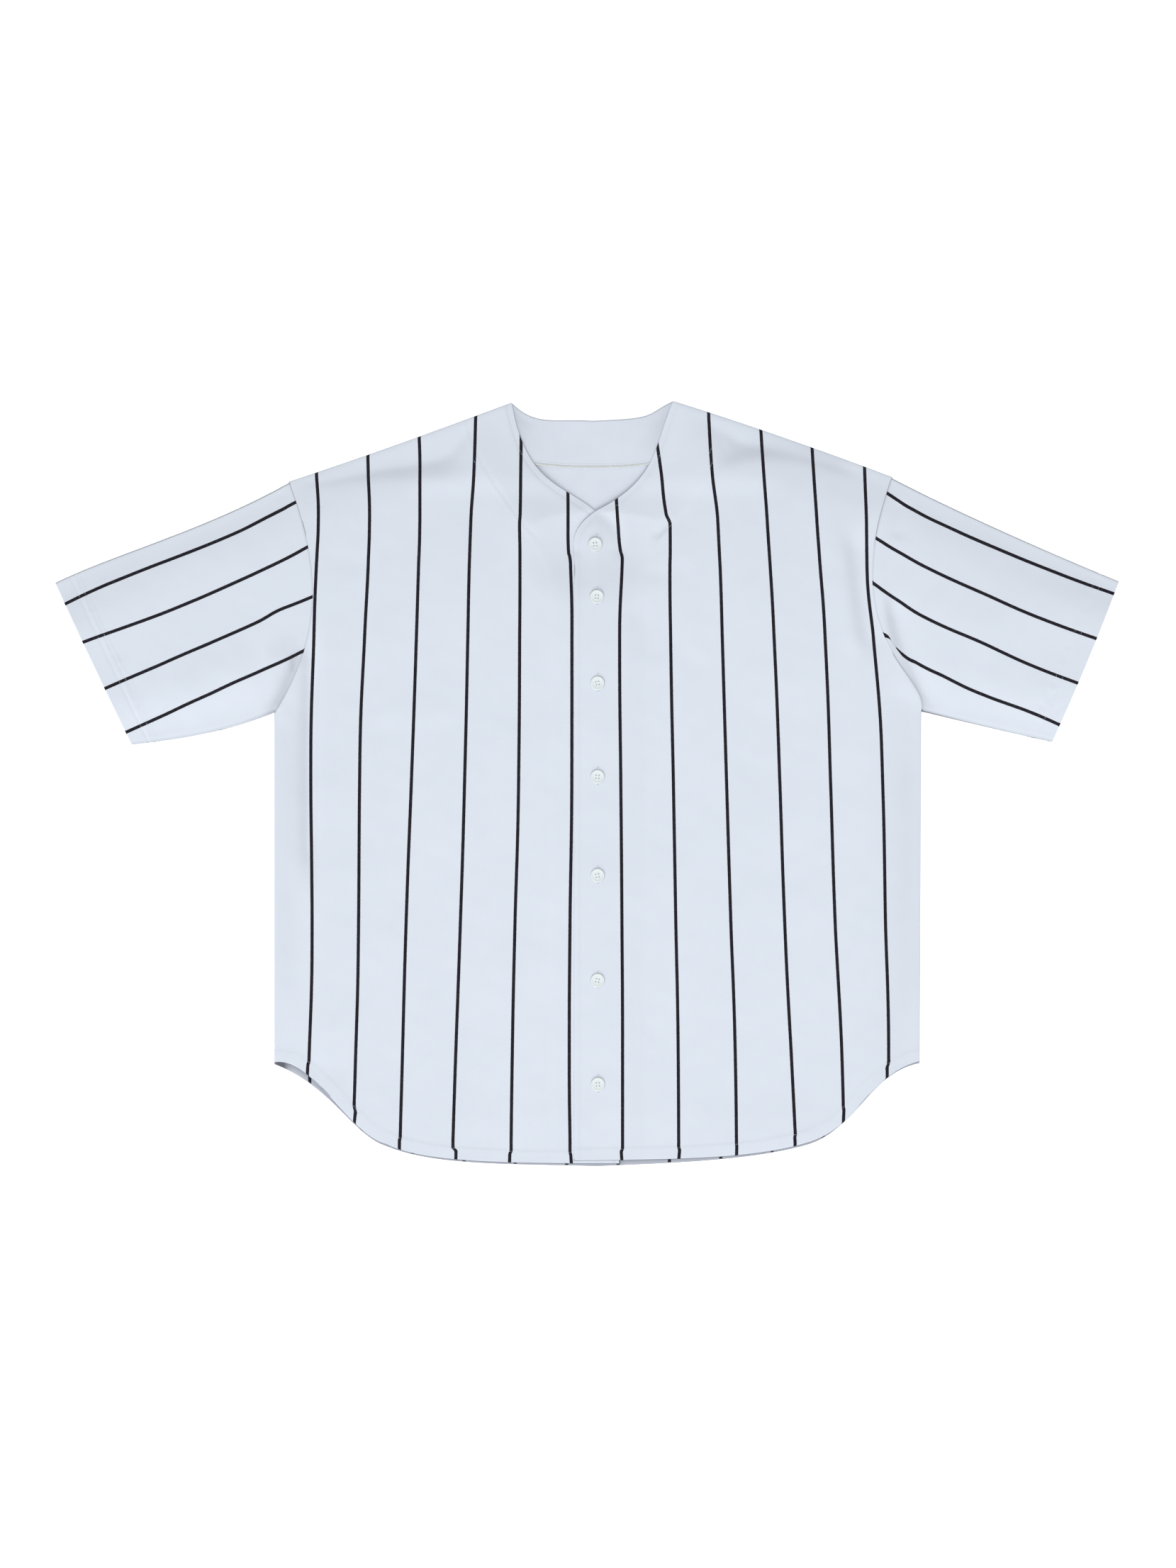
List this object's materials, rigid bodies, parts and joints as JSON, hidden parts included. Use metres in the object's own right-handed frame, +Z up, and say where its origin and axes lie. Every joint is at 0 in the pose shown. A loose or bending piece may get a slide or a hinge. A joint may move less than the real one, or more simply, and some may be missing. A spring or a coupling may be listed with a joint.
{
  "type": "baseball jersey",
  "caption": "Short-sleeved collarless baseball jersey in white double-knit cloth with dark pinstripes, buttoned down the front, with a shirt-tail hem, laid out flat.",
  "frame": {"origin": "middle of the jersey's spread, on the surface that it lies on (bounding box bottom centre)", "axes": "+X across the chest towards the wearer's left sleeve, +Y from the hem towards the neck, +Z up off the surface"},
  "size_m": [1.0372, 0.7444, 0.01],
  "materials": {
    "striped_knit": "matt white double-knit polyester with a faint blue cast, its face printed with narrow near-black stripes",
    "plain_knit": "matt plain white double-knit polyester, the inside of the striped cloth",
    "button": "semi-gloss off-white polyester resin"
  },
  "bodies": {
    "root": {"back_panel": "striped_knit", "back_neck_facing": "plain_knit", "front_right": "striped_knit", "front_left": "striped_knit", "sleeve_right": "striped_knit", "sleeve_left": "striped_knit", "button_1": "button", "button_2": "button", "button_3": "button", "button_4": "button", "button_5": "button", "button_6": "button", "button_7": "button"}
  },
  "joints": []
}
